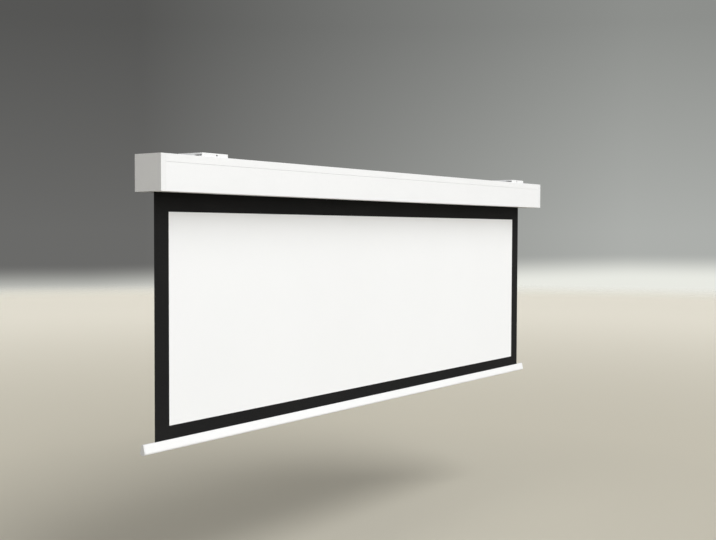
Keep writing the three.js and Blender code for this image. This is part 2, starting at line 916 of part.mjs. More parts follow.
// Plates, motor and idle pin, about the roller's axis: fixed to the case
function buildRollerMounts(caseGroup) {
  const group = new THREE.Group();
  group.position.z = -caseHalf;
  add(group, "motor_plate", motorPlate(), "zincSteel");
  add(group, "idle_plate", idlePlate(), "zincSteel");
  for (const [name, side] of [["idle", -1], ["motor", 1]]) {
    for (const [row, face] of [["front", -1], ["rear", 1]]) {
      const screw = add(group, `${name}_plate_screw_${row}`, plateScrew(side), "zincSteel");
      screw.position.y = face * bossOffset;
    }
  }
  add(group, "motor_head", motorHead(), "blackPlastic");
  add(group, "motor_clip", motorClip(), "zincSteel");
  add(group, "motor_tube", motorTube(), "greyPaint");
  add(group, "motor_gearbox", motorGearbox(), "blackPlastic");
  for (const [name, y] of Object.entries(limitScrewPlaces)) {
    const finish = name === "up" ? "yellowPlastic" : "palePlastic";
    add(group, `limit_screw_${name}`, limitScrew(), finish).position.set(limitScrewX, y, 0);
  }
  add(group, "idle_pin", idlePin(), "zincSteel");
  add(group, "idle_pin_nut", idlePinNut(), "zincSteel");
  caseGroup.add(group);
}

// Everything that turns
function buildRoller(caseGroup) {
  const group = new THREE.Group();
  group.position.z = -caseHalf;
  add(group, "roller_tube", rollerTube(), "bareAluminium");
  add(group, "cloth_strip", clothStrip(), "palePlastic");
  add(group, "wound_cloth", woundCloth(), "blackCloth");
  add(group, "crown_ring", crownRing(), "blackPlastic");
  add(group, "motor_shaft", motorShaft(), "zincSteel");
  add(group, "drive_wheel", driveWheel(), "blackPlastic");
  add(group, "idle_plug", idlePlug(), "blackPlastic");
  add(group, "idle_bearing", idleBearing(), "zincSteel");
  caseGroup.add(group);
}

function buildCloth(caseGroup) {
  add(caseGroup, "black_cloth", blackCloth(), "blackCloth");
  add(caseGroup, "white_surface", whiteSurface(), "whiteScreen");
}

function buildBottomBar(caseGroup) {
  const group = new THREE.Group();
  group.position.set(0, clothMiddle, barTop);
  add(group, "bar_profile", barProfile(), "whiteEnamel");
  add(group, "bar_cap_left", barCap(-1), "whitePlastic");
  add(group, "bar_cap_right", barCap(1), "whitePlastic");
  add(group, "hem_rod", hemRod(), "palePlastic").position.z = -hemRodDrop;
  add(group, "bar_weight", barWeight(), "zincSteel");
  caseGroup.add(group);
}

function buildBracket(screen, name, side) {
  const group = new THREE.Group();
  group.position.x = side * (endX - bracketInset);
  add(group, `ceiling_bracket_${name}`, ceilingBracket(side), "whiteEnamel");
  for (const [row, face] of [["front", -1], ["rear", 1]]) {
    add(group, `groove_bolt_${name}_${row}`, grooveBolt(), "zincSteel").position.y = face * grooveOffset;
    add(group, `groove_nut_${name}_${row}`, grooveNut(), "zincSteel").position.y = face * grooveOffset;
  }
  screen.add(group);
}

const screen = new THREE.Group();
const caseGroup = buildCase(screen);
buildRollerMounts(caseGroup);
buildRoller(caseGroup);
buildCloth(caseGroup);
buildBottomBar(caseGroup);
buildBracket(screen, "left", -1);
buildBracket(screen, "right", 1);

export default screen;
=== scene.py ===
"""Looks of a motorised roller screen for projection, let down under its square case.

Metres, +Z up, the front faces -Y.
"""

import json
import math

import bmesh
import bpy
from mathutils import Matrix, Vector


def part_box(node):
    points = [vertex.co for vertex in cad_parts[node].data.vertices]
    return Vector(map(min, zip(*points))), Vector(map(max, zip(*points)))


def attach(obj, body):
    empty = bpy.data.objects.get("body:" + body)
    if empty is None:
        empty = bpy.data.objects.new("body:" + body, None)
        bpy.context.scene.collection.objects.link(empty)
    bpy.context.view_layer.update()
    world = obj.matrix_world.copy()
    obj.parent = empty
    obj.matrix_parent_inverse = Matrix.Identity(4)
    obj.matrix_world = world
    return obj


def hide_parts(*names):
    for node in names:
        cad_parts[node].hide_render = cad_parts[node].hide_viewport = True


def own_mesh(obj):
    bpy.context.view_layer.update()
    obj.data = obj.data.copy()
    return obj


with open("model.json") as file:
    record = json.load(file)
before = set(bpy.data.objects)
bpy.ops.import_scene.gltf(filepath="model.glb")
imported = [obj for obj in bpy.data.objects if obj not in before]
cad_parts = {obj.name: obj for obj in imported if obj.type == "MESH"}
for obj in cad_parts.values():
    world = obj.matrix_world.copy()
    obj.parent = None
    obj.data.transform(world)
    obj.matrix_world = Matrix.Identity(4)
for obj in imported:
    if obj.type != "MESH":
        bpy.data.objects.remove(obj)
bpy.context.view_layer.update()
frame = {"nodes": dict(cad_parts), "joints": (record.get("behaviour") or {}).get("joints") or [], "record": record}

MM = 0.001

# The photograph's camera: its place, the way it looks, and its lens on a 36 mm wide sensor
CAMERA_PLACE = Vector((-3.4934, -2.3969, -0.2467))
CAMERA_YAW = math.radians(54.039)
CAMERA_PITCH = math.radians(-2.1464)
CAMERA_ROLL = math.radians(0.1901)
CAMERA_LENS = 52.43
CAMERA_SENSOR = 36.0

# Light: a fill that is strongest near the horizon, a high soft key, and a low soft lamp on the left
FILL_LOW = 0.47
FILL_HIGH = 0.15
LAMP_COLOUR = (0.975, 0.986, 1.0)
KEY_STRENGTH = 1.9
KEY_SOFTNESS = math.radians(46)
KEY_HEIGHT = math.radians(48)
KEY_TURN = math.radians(5)
FRONT_STRENGTH = 1.365
FRONT_SOFTNESS = math.radians(50)
FRONT_HEIGHT = math.radians(8)
FRONT_TURN = math.radians(-24)

# Floor: painted darker near the middle as painted shade around the screen, painted paler further out as painted
# light, and clear where the backdrop begins and from below
FLOOR_HEIGHT = -1.5
FLOOR_RADIUS = 60.0
FLOOR_SIDES = 96
FLOOR_NEAR_TO = 2.6
FLOOR_PALE_FROM = 1.5
FLOOR_PALE_TO = 12.5
FLOOR_CLEAR_FROM = 15.5
FLOOR_CLEAR_TO = 21.0
FLOOR_NEAR_COLOUR = (0.62, 0.585, 0.49, 1)
FLOOR_COLOUR = (0.715, 0.668, 0.55, 1)
FLOOR_FAR_COLOUR = (1.0, 0.945, 0.81, 1)
FLOOR_BOUNCE_COLOUR = (0.37, 0.342, 0.27, 1)

# Backdrop, painted light and shade: darker to the left and upwards, with a painted bright band of light along the
# floor's far edge. Places are those
# of a direction one metre long: to the right along BACKDROP_RIGHT, ahead along BAND_FACING, and up
BACKDROP_RIGHT = Vector((0.587, -0.809, 0.0))
BACKDROP_DARK = (0.093, 0.093, 0.09, 1)
BACKDROP_DARK_AT = -0.2
BACKDROP_LIGHT = (0.268, 0.276, 0.264, 1)
BACKDROP_LIGHT_AT = 0.25
BACKDROP_LOW_GAIN = 1.55
BACKDROP_HIGH = 0.19
BACKDROP_BAND = (0.815, 0.825, 0.77, 1)
BAND_START = -0.035
BAND_FULL = -0.08
BAND_FACING = Vector((0.809, 0.587, 0.0))
BAND_FACING_FULL = 0.6
BAND_REACH = 0.25
BAND_MIDDLE = 0.72
BAND_LEFT = 0.895
BAND_RIGHT = 0.545

# Meshes: corners this close are one, bends sharper than SHARP are edges, and bends under FLAT are none
WELD = 2e-5
SHARP = math.radians(26)
FLAT = math.radians(0.6)
ROUNDING_STEPS = 3


def new_object(name, mesh):
    made = bpy.data.objects.new(name, mesh)
    bpy.context.scene.collection.objects.link(made)
    return made


def object_from(name, bm, smooth=True):
    """A bmesh as a new object, smooth but for its sharp edges."""
    mesh = bpy.data.meshes.new(name)
    bm.to_mesh(mesh)
    bm.free()
    if smooth:
        mesh.shade_smooth()
        mesh.set_sharp_from_angle(angle=SHARP)
    return new_object(name, mesh)


# Shader nodes

def add_node(tree, kind, inputs=None, **settings):
    """A node whose inputs are set or, where a value is a socket, linked."""
    made = tree.nodes.new(kind)
    for key, value in settings.items():
        setattr(made, key, value)
    for key, value in (inputs or {}).items():
        if isinstance(value, bpy.types.NodeSocket):
            tree.links.new(value, made.inputs[key])
        else:
            made.inputs[key].default_value = value
    return made


def maths(tree, operation, first, second=0.0):
    return add_node(tree, "ShaderNodeMath", {0: first, 1: second}, operation=operation).outputs[0]


def remap(tree, value, low, high, to_low=0.0, to_high=1.0, ramp="SMOOTHSTEP"):
    """The value's way from low to high as a way from to_low to to_high, held at both ends."""
    inputs = {"Value": value, "From Min": low, "From Max": high, "To Min": to_low, "To Max": to_high}
    made = add_node(tree, "ShaderNodeMapRange", inputs, interpolation_type=ramp)
    return made.outputs["Result"]


def linear_share(tree, value, low, high, to_low=0.0, to_high=1.0):
    return remap(tree, value, low, high, to_low, to_high, ramp="LINEAR")


def blended(tree, share, first, second):
    """The first colour where share is 0 and the second where it is 1."""
    made = add_node(tree, "ShaderNodeMix", data_type="RGBA")
    for socket, value in ((0, share), (6, first), (7, second)):
        if isinstance(value, bpy.types.NodeSocket):
            tree.links.new(value, made.inputs[socket])
        else:
            made.inputs[socket].default_value = value
    return made.outputs[2]


def start_group(name, inputs, outputs):
    """An empty node group with its sockets, its input node and its output node."""
    group = bpy.data.node_groups.new(name, "ShaderNodeTree")
    for socket_name, kind, value in inputs:
        socket = group.interface.new_socket(socket_name, in_out="INPUT", socket_type=kind)
        socket.default_value = value
    for socket_name, kind in outputs:
        group.interface.new_socket(socket_name, in_out="OUTPUT", socket_type=kind)
    return group, group.nodes.new("NodeGroupInput"), group.nodes.new("NodeGroupOutput")


def place_group(tree, group, **inputs):
    made = tree.nodes.new("ShaderNodeGroup")
    made.node_tree = group
    for key, value in inputs.items():
        socket = made.inputs[key.replace("_", " ").capitalize()]
        if isinstance(value, bpy.types.NodeSocket):
            tree.links.new(value, socket)
        else:
            socket.default_value = value
    return made


def object_place(tree):
    return tree.nodes.new("ShaderNodeTexCoord").outputs["Object"]


def noise(tree, place, per_metre, detail, roughness=0.5):
    inputs = {"Vector": place, "Scale": per_metre, "Detail": detail, "Roughness": roughness}
    return add_node(tree, "ShaderNodeTexNoise", inputs).outputs["Fac"]


# Grain: coarse spots for each fine grain. Weave: how slubs stretch along a thread. Dust and wear: their
# patches per metre. Drawn lines: how they stretch along X, and wide streaks for each line
SPOTS_PER_GRAIN = 0.11
SLUB_SCALE = (3.0, 3.0, 900.0)
SPECKS_PER_METRE = 260.0
WORN_PATCHES_PER_METRE = 90.0
DRAWN_SCALE = (0.006, 1.0, 1.0)
STREAKS_PER_LINE = 0.05


def grain_group():
    """Fine pebbled grain of a coating or a moulding: a height, and a coarser mask of duller spots."""
    group, given, out = start_group(
        "Fine grain",
        [("Grains per metre", "NodeSocketFloat", 700.0)],
        [("Height", "NodeSocketFloat"), ("Spots", "NodeSocketFloat")],
    )
    place = object_place(group)
    count = given.outputs["Grains per metre"]
    fine = noise(group, place, count, 2.0, roughness=0.55)
    coarse = noise(group, place, maths(group, "MULTIPLY", count, SPOTS_PER_GRAIN), 3.0)
    group.links.new(fine, out.inputs["Height"])
    group.links.new(remap(group, coarse, 0.42, 0.62), out.inputs["Spots"])
    return group


def weave_group():
    """Plain weave in X and Z: a height with each thread over and under, and a mask of thicker threads."""
    group, given, out = start_group(
        "Plain weave",
        [("Threads per metre", "NodeSocketFloat", 1500.0)],
        [("Height", "NodeSocketFloat"), ("Slubs", "NodeSocketFloat")],
    )
    count = given.outputs["Threads per metre"]
    place = object_place(group)
    parts = add_node(group, "ShaderNodeSeparateXYZ", {"Vector": place})
    warp = maths(group, "MULTIPLY", parts.outputs["X"], count)
    weft = maths(group, "MULTIPLY", parts.outputs["Z"], count)
    warp_round = maths(group, "ABSOLUTE", maths(group, "SINE", maths(group, "MULTIPLY", warp, math.pi)))
    weft_round = maths(group, "ABSOLUTE", maths(group, "SINE", maths(group, "MULTIPLY", weft, math.pi)))
    steps = maths(group, "ADD", maths(group, "FLOOR", warp), maths(group, "FLOOR", weft))
    over = maths(group, "ABSOLUTE", maths(group, "MODULO", steps, 2.0))
    under = maths(group, "SUBTRACT", 1.0, over)
    warp_part = maths(group, "MULTIPLY", warp_round, over)
    weft_part = maths(group, "MULTIPLY", weft_round, under)
    height = maths(group, "ADD", warp_part, weft_part)
    stretched = add_node(group, "ShaderNodeMapping", {"Vector": place, "Scale": SLUB_SCALE})
    slubs = noise(group, stretched.outputs[0], 1.0, 2.0)
    group.links.new(height, out.inputs["Height"])
    group.links.new(remap(group, slubs, 0.58, 0.72), out.inputs["Slubs"])
    return group


def tone_group():
    """A base colour that drifts a little over the surface, with settled dust on what faces up."""
    group, given, out = start_group(
        "Lived-in tone",
        [
            ("Colour", "NodeSocketColor", (0.8, 0.8, 0.8, 1)),
            ("Drift colour", "NodeSocketColor", (0.7, 0.7, 0.7, 1)),
            ("Drift per metre", "NodeSocketFloat", 5.0),
            ("Dust colour", "NodeSocketColor", (0.6, 0.58, 0.55, 1)),
            ("Dust", "NodeSocketFloat", 0.1),
        ],
        [("Colour", "NodeSocketColor")],
    )
    place = object_place(group)
    drift = noise(group, place, given.outputs["Drift per metre"], 4.0, roughness=0.6)
    drift_share = remap(group, drift, 0.35, 0.75)
    base = blended(group, drift_share, given.outputs["Colour"], given.outputs["Drift colour"])
    normal = group.nodes.new("ShaderNodeNewGeometry").outputs["Normal"]
    up = add_node(group, "ShaderNodeSeparateXYZ", {"Vector": normal}).outputs["Z"]
    specks = remap(group, noise(group, place, SPECKS_PER_METRE, 5.0), 0.4, 0.7)
    settled = maths(group, "MULTIPLY", remap(group, up, 0.4, 0.95), specks)
    dust = maths(group, "MULTIPLY", settled, given.outputs["Dust"])
    dusted = blended(group, dust, base, given.outputs["Dust colour"])
    group.links.new(dusted, out.inputs["Colour"])
    return group


def edge_group():
    """A mask of the worn, rubbed edges of a piece."""
    group, given, out = start_group(
        "Rubbed edges",
        [("Amount", "NodeSocketFloat", 0.5)],
        [("Edges", "NodeSocketFloat")],
    )
    point = group.nodes.new("ShaderNodeNewGeometry").outputs["Pointiness"]
    patches = noise(group, object_place(group), WORN_PATCHES_PER_METRE, 4.0)
    raised = remap(group, point, 0.53, 0.62)
    patchy = maths(group, "MULTIPLY", raised, remap(group, patches, 0.3, 0.65))
    group.links.new(maths(group, "MULTIPLY", patchy, given.outputs["Amount"]), out.inputs["Edges"])
    return group


def drawn_group():
    """Fine lines that the die or the roll leaves along X on bare metal."""
    group, given, out = start_group(
        "Drawn lines",
        [("Lines per metre", "NodeSocketFloat", 1200.0)],
        [("Height", "NodeSocketFloat"), ("Streaks", "NodeSocketFloat")],
    )
    place = object_place(group)
    count = given.outputs["Lines per metre"]
    flattened = add_node(group, "ShaderNodeVectorMath", {0: place, 1: DRAWN_SCALE}, operation="MULTIPLY")
    lines = noise(group, flattened.outputs[0], count, 3.0)
    streak_count = maths(group, "MULTIPLY", count, STREAKS_PER_LINE)
    streaks = noise(group, flattened.outputs[0], streak_count, 2.0)
    group.links.new(lines, out.inputs["Height"])
    group.links.new(remap(group, streaks, 0.35, 0.7), out.inputs["Streaks"])
    return group


GRAIN = grain_group()
WEAVE = weave_group()
TONE = tone_group()
EDGES = edge_group()
DRAWN = drawn_group()


def start_material(name, **sockets):
    """A new material, its tree and its Principled BSDF with these plain values set."""
    material = bpy.data.materials.new(name)
    material.use_nodes = True
    shader = material.node_tree.nodes["Principled BSDF"]
    for key, value in sockets.items():
        shader.inputs[key.replace("_", " ")].default_value = value
    return material, material.node_tree, shader


def bump(tree, shader, height, strength, distance):
    inputs = {"Height": height, "Strength": strength, "Distance": distance}
    made = add_node(tree, "ShaderNodeBump", inputs)
    tree.links.new(made.outputs["Normal"], shader.inputs["Normal"])


def roughen(tree, shader, share, low, high):
    tree.links.new(remap(tree, share, 0.0, 1.0, low, high), shader.inputs["Roughness"])


def white_enamel():
    """Powder coat: close orange peel, even white, edges rubbed a little brighter."""
    material, tree, shader = start_material("white_enamel")
    tone = place_group(
        tree, TONE, colour=(0.935, 0.935, 0.934, 1), drift_colour=(0.917, 0.917, 0.915, 1), dust=0.12
    )
    edges = place_group(tree, EDGES, amount=0.5)
    colour = blended(tree, edges.outputs["Edges"], tone.outputs["Colour"], (0.95, 0.95, 0.945, 1))
    tree.links.new(colour, shader.inputs["Base Color"])
    grain = place_group(tree, GRAIN, grains_per_metre=560.0)
    roughen(tree, shader, grain.outputs["Spots"], 0.36, 0.46)
    bump(tree, shader, grain.outputs["Height"], 0.45, 0.42 * MM)
    return material


def white_plastic():
    """Moulded end pieces: fine spark-eroded grain, a shade darker than the coated metal."""
    material, tree, shader = start_material("white_plastic", Specular_IOR_Level=0.45)
    tone = place_group(
        tree, TONE, colour=(0.905, 0.905, 0.9, 1), drift_colour=(0.885, 0.885, 0.88, 1), dust=0.12
    )
    tree.links.new(tone.outputs["Colour"], shader.inputs["Base Color"])
    grain = place_group(tree, GRAIN, grains_per_metre=2400.0)
    roughen(tree, shader, grain.outputs["Spots"], 0.46, 0.58)
    bump(tree, shader, grain.outputs["Height"], 0.3, 0.1 * MM)
    return material


def white_screen():
    """Matt white projection coating on a close weave."""
    material, tree, shader = start_material("white_screen", Specular_IOR_Level=0.2, Sheen_Weight=0.04)
    tone = place_group(
        tree,
        TONE,
        colour=(0.93, 0.93, 0.927, 1),
        drift_colour=(0.92, 0.92, 0.916, 1),
        drift_per_metre=2.0,
        dust=0.0,
    )
    weave = place_group(tree, WEAVE, threads_per_metre=1700.0)
    threads = maths(tree, "MULTIPLY", weave.outputs["Slubs"], 0.25)
    slubbed = blended(tree, threads, tone.outputs["Colour"], (0.905, 0.905, 0.9, 1))
    # Painted shade: the hollows between the threads are painted darker
    hollow_shade = remap(tree, weave.outputs["Height"], 0.0, 0.5, 0.1, 0.0)
    woven_with_shade = blended(tree, hollow_shade, slubbed, (0.74, 0.74, 0.735, 1))
    tree.links.new(woven_with_shade, shader.inputs["Base Color"])
    roughen(tree, shader, weave.outputs["Slubs"], 0.82, 0.9)
    bump(tree, shader, weave.outputs["Height"], 0.5, 0.06 * MM)
    return material


def black_cloth():
    """Black coated cloth of the border and the back."""
    material, tree, shader = start_material("black_cloth", Specular_IOR_Level=0.05, Sheen_Weight=0.01)
    tone = place_group(
        tree,
        TONE,
        colour=(0.0155, 0.0155, 0.0158, 1),
        drift_colour=(0.0187, 0.0185, 0.0182, 1),
        drift_per_metre=3.0,
        dust=0.0,
    )
    weave = place_group(tree, WEAVE, threads_per_metre=1400.0)
    threads = maths(tree, "MULTIPLY", weave.outputs["Slubs"], 0.2)
    slubbed = blended(tree, threads, tone.outputs["Colour"], (0.022, 0.022, 0.0225, 1))
    # Painted shade: the hollows between the threads are painted darker still
    hollow_shade = remap(tree, weave.outputs["Height"], 0.1, 0.7, 0.8, 0.0)
    woven_with_shade = blended(tree, hollow_shade, slubbed, (0.006, 0.006, 0.006, 1))
    tree.links.new(woven_with_shade, shader.inputs["Base Color"])
    roughen(tree, shader, weave.outputs["Slubs"], 0.72, 0.62)
    bump(tree, shader, weave.outputs["Height"], 0.7, 0.15 * MM)
    return material


def bare_aluminium():
    """Mill finish of the roller's tube: die lines along it and dull patches."""
    material, tree, shader = start_material("bare_aluminium", Metallic=1.0)
    drawn = place_group(tree, DRAWN, lines_per_metre=1400.0)
    colour = blended(tree, drawn.outputs["Streaks"], (0.72, 0.73, 0.74, 1), (0.62, 0.63, 0.645, 1))
    tree.links.new(colour, shader.inputs["Base Color"])
    roughen(tree, shader, drawn.outputs["Streaks"], 0.28, 0.42)
    bump(tree, shader, drawn.outputs["Height"], 0.2, 0.05 * MM)
    return material


def zinc_steel():
    """Zinc plated steel: pale grey with a faint cloudy passivation, brighter where it is rubbed."""
    material, tree, shader = start_material("zinc_steel", Metallic=1.0)
    tone = place_group(
        tree,
        TONE,
        colour=(0.62, 0.635, 0.65, 1),
        drift_colour=(0.55, 0.555, 0.54, 1),
        drift_per_metre=120.0,
        dust=0.15,
    )
    edges = place_group(tree, EDGES, amount=0.7)
    colour = blended(tree, edges.outputs["Edges"], tone.outputs["Colour"], (0.78, 0.785, 0.79, 1))
    tree.links.new(colour, shader.inputs["Base Color"])
    grain = place_group(tree, GRAIN, grains_per_metre=900.0)
    roughen(tree, shader, grain.outputs["Spots"], 0.26, 0.42)
    bump(tree, shader, grain.outputs["Height"], 0.2, 0.1 * MM)
    return material


def grey_paint():
    """Painted steel of the motor's housing."""
    material, tree, shader = start_material("grey_paint")
    tone = place_group(
        tree,
        TONE,
        colour=(0.075, 0.08, 0.086, 1),
        drift_colour=(0.062, 0.066, 0.07, 1),
        drift_per_metre=30.0,
    )
    edges = place_group(tree, EDGES, amount=0.6)
    colour = blended(tree, edges.outputs["Edges"], tone.outputs["Colour"], (0.28, 0.285, 0.29, 1))
    tree.links.new(colour, shader.inputs["Base Color"])
    grain = place_group(tree, GRAIN, grains_per_metre=1100.0)
    roughen(tree, shader, grain.outputs["Spots"], 0.38, 0.5)
    bump(tree, shader, grain.outputs["Height"], 0.3, 0.12 * MM)
    return material


def moulded(name, colour, drift, roughness, grains=2200.0):
    """A moulded plastic or rubber in its own colour."""
    material, tree, shader = start_material(name, Specular_IOR_Level=0.4)
    tone = place_group(tree, TONE, colour=colour, drift_colour=drift, drift_per_metre=40.0, dust=0.1)
    tree.links.new(tone.outputs["Colour"], shader.inputs["Base Color"])
    grain = place_group(tree, GRAIN, grains_per_metre=grains)
    roughen(tree, shader, grain.outputs["Spots"], roughness - 0.05, roughness + 0.07)
    bump(tree, shader, grain.outputs["Height"], 0.4, 0.12 * MM)
    return material


MATERIALS = {
    "white_enamel": white_enamel(),
    "white_plastic": white_plastic(),
    "white_screen": white_screen(),
    "black_cloth": black_cloth(),
    "bare_aluminium": bare_aluminium(),
    "zinc_steel": zinc_steel(),
    "grey_paint": grey_paint(),
    "black_plastic": moulded("black_plastic", (0.016, 0.016, 0.017, 1), (0.021, 0.021, 0.021, 1), 0.48),
    "yellow_plastic": moulded("yellow_plastic", (0.72, 0.43, 0.02, 1), (0.66, 0.38, 0.018, 1), 0.42),
    "pale_plastic": moulded("pale_plastic", (0.78, 0.78, 0.76, 1), (0.73, 0.73, 0.7, 1), 0.45),
}
RUBBER = moulded("black_rubber", (0.012, 0.012, 0.012, 1), (0.018, 0.018, 0.018, 1), 0.7, grains=1500.0)

BODY_OF_NODE = {
    node: body for body, nodes in frame["record"]["behaviour"]["bodies"].items() for node in nodes
}
SLOT_OF_NODE = {part["node"]: part["material_slot"] for part in frame["record"]["subparts"]}


def finish_piece(piece, node, material=None):
    """The piece stands for a CAD node: it rides on that node's body and takes its slot's finish."""
    slot = SLOT_OF_NODE[node]
    piece.data.materials.clear()
    piece.data.materials.append(material or MATERIALS[slot])
    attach(piece, BODY_OF_NODE[node])
    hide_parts(node)
    return piece


def welded(node):
    """A CAD node's solid as a bmesh, with its flat faces whole."""
    bm = bmesh.new()
    bm.from_mesh(frame["nodes"][node].data)
    bmesh.ops.remove_doubles(bm, verts=bm.verts, dist=WELD)
    bmesh.ops.dissolve_limit(bm, angle_limit=FLAT, verts=bm.verts, edges=bm.edges, delimit=set())
    return bm


def soften(piece, width):
    """Rounds the outer edges that carry a bevel weight, and keeps large faces flat in the shading."""
    rounding = piece.modifiers.new("rounding", "BEVEL")
    rounding.limit_method = "WEIGHT"
    rounding.width = width
    rounding.segments = ROUNDING_STEPS
    rounding.use_clamp_overlap = True
    shading = piece.modifiers.new("flat_faces", "WEIGHTED_NORMAL")
    shading.keep_sharp = True


def rounded(name, node, width):
    """The node's own form with its outer edges rounded."""
    bm = welded(node)
    weight = bm.edges.layers.float.new("bevel_weight_edge")
    for edge in bm.edges:
        if edge.is_manifold and edge.calc_face_angle_signed() > SHARP:
            edge[weight] = 1.0
    piece = object_from(name, bm, smooth=False)
    piece.data.shade_smooth()
    soften(piece, width)
    return piece


# Pieces that keep their CAD form: the width that the edges are rounded by, and the one for all the others
EDGE_WIDTHS = {
    "case_body": 0.3 * MM,
    "front_cover": 0.3 * MM,
    "end_cap_left": 0.8 * MM,
    "end_cap_right": 0.8 * MM,
    "bar_profile": 0.25 * MM,
    "bar_cap_left": 0.5 * MM,
    "bar_cap_right": 0.5 * MM,
    "ceiling_bracket_left": 0.4 * MM,
    "ceiling_bracket_right": 0.4 * MM,
    "cable_grommet": 0.6 * MM,
}
SMALL_EDGE_WIDTH = 0.2 * MM
CLOTH_NODES = ("black_cloth", "white_surface", "wound_cloth")


def build_rounded_pieces():
    for node in SLOT_OF_NODE:
        if node in CLOTH_NODES or fastener_kind(node):
            continue
        width = EDGE_WIDTHS.get(node, SMALL_EDGE_WIDTH)
        piece = rounded(f"{node}_finished", node, width)
        finish_piece(piece, node, RUBBER if node == "cable_grommet" else None)


# Fasteners: each is made about its own Z axis, its head's outer face at 0 and its tip below

# Points around a bolt or a nut
EVEN_STEPS = 48

# Thread: rows in each turn, its depth as a share of the pitch, how steep its flanks are, and how high
# they would meet if the crest weren't flat
THREAD_ROWS = 6
THREAD_DEPTH = 0.5
FLANK_SLOPE = 2.8
FLANK_PEAK = 1.2

# Shanks: the thread's radius, where it ends under the head, its pitch, its point's length and blunt tip
SHANKS = {
    "cap_screw": dict(radius=1.9 * MM, top=-1.8 * MM, pitch=1.3 * MM, point=2.5 * MM, blunt=0.2),
    "plate_screw": dict(radius=2.0 * MM, top=-2.6 * MM, pitch=1.4 * MM, point=2.5 * MM, blunt=0.25),
    "groove_bolt": dict(radius=3.0 * MM, top=-3.2 * MM, pitch=1.0 * MM, point=0.9 * MM, blunt=0.8),
}

# Outlines of the heads from the shank to the outer face, as radius and height in millimetres
COUNTERSUNK_HEAD = [(1.9, -1.7), (3.5, -0.22), (3.6, -0.12), (3.52, -0.03), (3.4, 0.0)]
PAN_UNDERSIDE = [(2.0, -2.5), (3.85, -2.5), (4.0, -2.35)]
PAN_DOME = [(4.0, -1.6), (3.85, -1.0), (3.45, -0.5), (2.8, -0.16), (2.35, -0.05)]
PAN_HEAD = PAN_UNDERSIDE + PAN_DOME

# Square head: half its flats and height in millimetres, the bolt's neck under it, and how far its rubbed
# corners reach as a share of half the flats
SQUARE_HEAD = [(5.25, -3.0), (5.5, -2.8), (5.5, -0.4), (5.15, 0.0)]
SQUARE_NECK = 3.1 * MM
SQUARE_CORNER = 1.3

# Cross recess: its arm's length, half its width as a share of that, and the recess from its rim down, as
# a share of the arm and a height in millimetres
CROSS_ARM = 2.0 * MM
CROSS_SLIMNESS = 0.27
RECESS = [(1.0, 0.0), (0.93, -0.2), (0.5, -1.45), (0.12, -1.65)]

# Nuts: their bores, and the height from the face of each row of the chamfer, with how far the cone
# reaches there as a share of half the flats
IDLE_NUT_BORE = 6.05 * MM
GROOVE_NUT_BORE = 3.05 * MM
BORE_CHAMFER = 0.5 * MM
NUT_CHAMFER = [(0.0, 0.96), (0.14, 1.0), (0.3, 1.05), (0.5, 1.1), (0.75, 1.16)]


def fastener_kind(node):
    """cap_screw, plate_screw, groove_bolt or nut, or None where the node is no fastener."""
    if node.endswith("_nut") or "_nut_" in node:
        return "nut"
    return next((kind for kind in SHANKS if kind in node), None)


def lofted(rows, closed=False):
    """A skin through rows of points around a piece, capped unless the last row meets the first."""
    bm = bmesh.new()
    rings = [[bm.verts.new(point) for point in row] for row in rows]
    pairs = list(zip(rings, rings[1:]))
    if closed:
        pairs.append((rings[-1], rings[0]))
    for ring, following in pairs:
        for i, vert in enumerate(ring):
            beside = (i + 1) % len(ring)
            bm.faces.new((vert, ring[beside], following[beside], following[i]))
    if not closed:
        bm.faces.new(rings[0])
        bm.faces.new(rings[-1])
    bmesh.ops.recalc_face_normals(bm, faces=bm.faces)
    return bm


def row_around(angles, height, reach):
    """Points around the axis at one height, as far out as reach says for each angle."""
    spokes = [(angle, reach(angle)) for angle in angles]
    return [Vector((out * math.cos(angle), out * math.sin(angle), height)) for angle, out in spokes]


def circle(radius):
    return lambda angle: radius


def square(half):
    """A square across its flats, with its corners rubbed off."""
    corner = SQUARE_CORNER * half
    return lambda angle: min(half / max(abs(math.cos(angle)), abs(math.sin(angle))), corner)


def hexagon(half):
    """A hexagon across its flats, one of them at angle 0."""
    sixth = math.pi / 3
    return lambda angle: half / math.cos((angle + sixth / 2) % sixth - sixth / 2)


def cross(arm):
    """The outline of a cross recess whose arms reach this far."""
    def reach(angle):
        along_x = max(abs(math.cos(angle)), 1e-6)
        along_y = max(abs(math.sin(angle)), 1e-6)
        half = arm * CROSS_SLIMNESS
        return max(min(arm / along_x, half / along_y), min(arm / along_y, half / along_x))

    return reach


def cross_angles():
    """Angles around a screw that meet every corner of its recess."""
    corner = math.atan(CROSS_SLIMNESS)
    step = (math.pi / 4 - corner) / 3
    first = [corner + step * i for i in range(3)]
    quarter = [0.0, *first, math.pi / 4, *(math.pi / 2 - angle for angle in reversed(first))]
    return [quadrant * math.pi / 2 + angle for quadrant in range(4) for angle in quarter]


def even_angles():
    return [math.tau * i / EVEN_STEPS for i in range(EVEN_STEPS)]


def thread_rows(angles, tip, radius, top, pitch, point, blunt):
    """Rows of a right-handed thread from the tip up to its run-out under the head."""
    root = radius - THREAD_DEPTH * pitch
    steps = round((top - tip) / pitch * THREAD_ROWS)
    rows = []
    for i in range(steps + 1):
        height = tip + (top - tip) * i / steps
        narrowing = min(1.0, blunt + (1 - blunt) * (height - tip) / point)
        run_out = min(1.0, (top - height) / pitch)

        def reach(angle):
            from_crest = abs((height / pitch - angle / math.tau) % 1.0 - 0.5)
            crest = min(1.0, max(0.0, FLANK_PEAK - FLANK_SLOPE * from_crest))
            return narrowing * (root + (radius - root) * crest * run_out)

        rows.append(row_around(angles, height, reach))
    return rows


